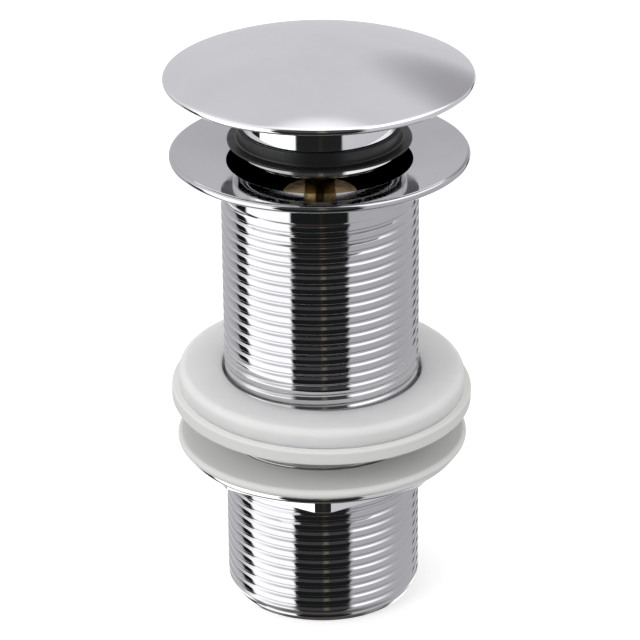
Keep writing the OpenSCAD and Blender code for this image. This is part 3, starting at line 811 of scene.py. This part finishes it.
class WASTE_OT_stage(bpy.types.Operator):
    """Floor, studio light and camera"""

    bl_idname = "waste.stage"
    bl_label = "Stage"

    def execute(self, context):
        studio = context.scene.waste_studio
        self.make_floor(studio)
        self.make_surround(context.scene, studio)
        self.make_light("overhead", studio.overhead, OVERHEAD_AT, OVERHEAD_SIZE, studio)
        self.make_light("front", studio.front, FRONT_AT, FRONT_SIZE, studio)
        self.make_camera(context.scene, studio)
        context.scene.view_settings.view_transform = "Standard"
        return {"FINISHED"}

    def make_floor(self, studio):
        """A wide pale floor that glows a little and isn't mirrored in the chrome."""
        reach = FLOOR_REACH
        cloud_scale, tint_change, matt = 3, 0.005, 0.9
        data = bpy.data.meshes.new("floor")
        data.from_pydata([(-reach, -reach, 0), (reach, -reach, 0), (reach, reach, 0), (-reach, reach, 0)],
                         [], [(0, 1, 2, 3)])
        floor = bpy.data.objects.new("floor", data)
        bpy.context.scene.collection.objects.link(floor)
        material, tree, shader = new_finish("pale_floor")
        dark, light = shades(studio.floor, tint_change)
        tree.links.new(spread(tree, noise_of(tree, cloud_scale), dark, light), shader.inputs["Base Color"])
        shader.inputs["Roughness"].default_value = matt
        shader.inputs["Specular IOR Level"].default_value = 0.0
        shader.inputs["Emission Color"].default_value = (1, 1, 1, 1)
        shader.inputs["Emission Strength"].default_value = studio.floor_glow
        data.materials.append(material)
        floor.visible_glossy = False
        floor.visible_diffuse = False

    def make_surround(self, scene, studio):
        """White behind the object, light by height on matt surfaces, and in the chrome a room with bands."""
        world = bpy.data.worlds.new("studio")
        scene.world = world
        world.use_nodes = True
        tree = world.node_tree
        place = tree.nodes.new("ShaderNodeTexCoord").outputs["Generated"]
        split = tree.nodes.new("ShaderNodeSeparateXYZ")
        tree.links.new(place, split.inputs["Vector"])
        around = self.way_round(tree, split)
        room = self.ring_of(tree, around, EYE_RING)
        for elevations, stops in RINGS:
            start, full = (math.sin(math.radians(e)) for e in elevations)
            share_of_ring = self.smooth(tree, split.outputs["Z"], start, full)
            room = self.mixed(tree, share_of_ring, room, self.ring_of(tree, around, stops))
        for azimuth, elevation, reach, tint in PATCHES:
            room = self.mixed(tree, self.near_to(tree, place, azimuth, elevation, reach), room, tint)
        path = tree.nodes.new("ShaderNodeLightPath")
        level = add_node(tree, "ShaderNodeMapRange", From_Min=-1.0)
        tree.links.new(split.outputs["Z"], level.inputs["Value"])
        heights = [((1 + math.sin(math.radians(elevation))) / 2, part * studio.ambient)
                   for elevation, part in AMBIENT_STOPS]
        ambient = stops_ramp(tree, level.outputs["Result"], heights)
        room = self.mixed(tree, path.outputs["Is Diffuse Ray"], room, ambient)
        room = self.mixed(tree, path.outputs["Is Camera Ray"], room, (1, 1, 1))
        tree.links.new(room, tree.nodes["Background"].inputs["Color"])

    def way_round(self, tree, split):
        """How far round from the back a direction points, from 0 to 1, with the front at a half."""
        flip = add_node(tree, "ShaderNodeMath", {"operation": "MULTIPLY"})
        flip.inputs[1].default_value = -1.0
        turn = add_node(tree, "ShaderNodeMath", {"operation": "ARCTAN2"})
        around = add_node(tree, "ShaderNodeMapRange", From_Min=-math.pi, From_Max=math.pi)
        tree.links.new(split.outputs["Y"], flip.inputs[0])
        tree.links.new(split.outputs["X"], turn.inputs[0])
        tree.links.new(flip.outputs[0], turn.inputs[1])
        tree.links.new(turn.outputs[0], around.inputs["Value"])
        return around.outputs["Result"]

    def ring_of(self, tree, around, stops):
        """A ramp right round the room through stops given in degrees from the front."""
        return stops_ramp(tree, around, [((degrees + 180) / 360, tint) for degrees, tint in stops])

    def near_to(self, tree, place, azimuth, elevation, reach):
        """1 at a direction, falling smoothly to 0 at its reach."""
        turn, lift = math.radians(azimuth), math.radians(elevation)
        dot = add_node(tree, "ShaderNodeVectorMath", {"operation": "DOT_PRODUCT"})
        dot.inputs[1].default_value = (math.cos(lift) * math.sin(turn), -math.cos(lift) * math.cos(turn),
                                       math.sin(lift))
        tree.links.new(place, dot.inputs[0])
        return self.smooth(tree, dot.outputs["Value"], math.cos(math.radians(reach)), 1.0)

    def smooth(self, tree, source, start, end):
        """A value that goes smoothly from 0 at start to 1 at end."""
        step = add_node(tree, "ShaderNodeMapRange", {"interpolation_type": "SMOOTHSTEP"},
                        From_Min=start, From_Max=end)
        tree.links.new(source, step.inputs["Value"])
        return step.outputs["Result"]

    def mixed(self, tree, factor, first, second):
        """First mixed with second, which is a socket or a colour."""
        mix = add_node(tree, "ShaderNodeMix", {"data_type": "RGBA"})
        tree.links.new(factor, mix.inputs["Factor"])
        tree.links.new(first, mix.inputs[MIX_FIRST])
        if isinstance(second, tuple):
            mix.inputs[MIX_SECOND].default_value = (*second, 1)
        else:
            tree.links.new(second, mix.inputs[MIX_SECOND])
        return mix.outputs[MIX_RESULT]

    def make_light(self, name, watts, location, size, studio):
        """A soft round light that points at the object and isn't mirrored in the chrome."""
        data = bpy.data.lights.new(name, "AREA")
        data.shape = "DISK"
        data.size = size
        data.energy = watts
        light = bpy.data.objects.new(name, data)
        light.location = location
        aim = Vector((0, 0, studio.aim_height)) - light.location
        light.rotation_mode = "QUATERNION"
        light.rotation_quaternion = aim.to_track_quat("-Z", "Y")
        light.visible_glossy = False
        bpy.context.scene.collection.objects.link(light)

    def make_camera(self, scene, studio):
        """A camera in front of the object and a little above it."""
        data = bpy.data.cameras.new("camera")
        data.sensor_width = SENSOR_WIDTH
        data.lens = studio.lens
        data.clip_start = NEAREST
        camera = bpy.data.objects.new("camera", data)
        back = Vector((0.0, -math.cos(studio.elevation), math.sin(studio.elevation)))
        aim = Vector((-studio.aim_left, 0.0, studio.aim_height))
        camera.location = aim + back * studio.distance
        camera.rotation_mode = "QUATERNION"
        camera.rotation_quaternion = (-back).to_track_quat("-Z", "Y") @ Quaternion((0, 0, 1), studio.roll)
        scene.collection.objects.link(camera)
        scene.camera = camera


class WASTE_PT_panel(bpy.types.Panel):
    """Buttons and values of the basin waste"""

    bl_idname = "WASTE_PT_panel"
    bl_label = "Basin Waste"
    bl_space_type = "VIEW_3D"
    bl_region_type = "UI"
    bl_category = "Basin Waste"

    def draw(self, context):
        layout = self.layout
        for operator in OPERATORS:
            layout.operator(operator.bl_idname)
        for group in (context.scene.waste_sizes, context.scene.waste_finishes, context.scene.waste_studio):
            box = layout.box()
            for name in group.__annotations__:
                box.prop(group, name)


OPERATORS = (WASTE_OT_body, WASTE_OT_plug, WASTE_OT_nut, WASTE_OT_rings, WASTE_OT_spring,
             WASTE_OT_cartridge, WASTE_OT_stage)
GROUPS = {"waste_sizes": WasteSizes, "waste_finishes": WasteFinishes, "waste_studio": WasteStudio}


def register():
    for group in (*GROUPS.values(), *OPERATORS, WASTE_PT_panel):
        bpy.utils.register_class(group)
    for name, group in GROUPS.items():
        setattr(bpy.types.Scene, name, PointerProperty(type=group))


def unregister():
    for name in GROUPS:
        delattr(bpy.types.Scene, name)
    for group in reversed((*GROUPS.values(), *OPERATORS, WASTE_PT_panel)):
        bpy.utils.unregister_class(group)


def main():
    register()
    for operator in OPERATORS:
        family, name = operator.bl_idname.split(".")
        getattr(getattr(bpy.ops, family), name)()


if __name__ == "__main__":
    main()
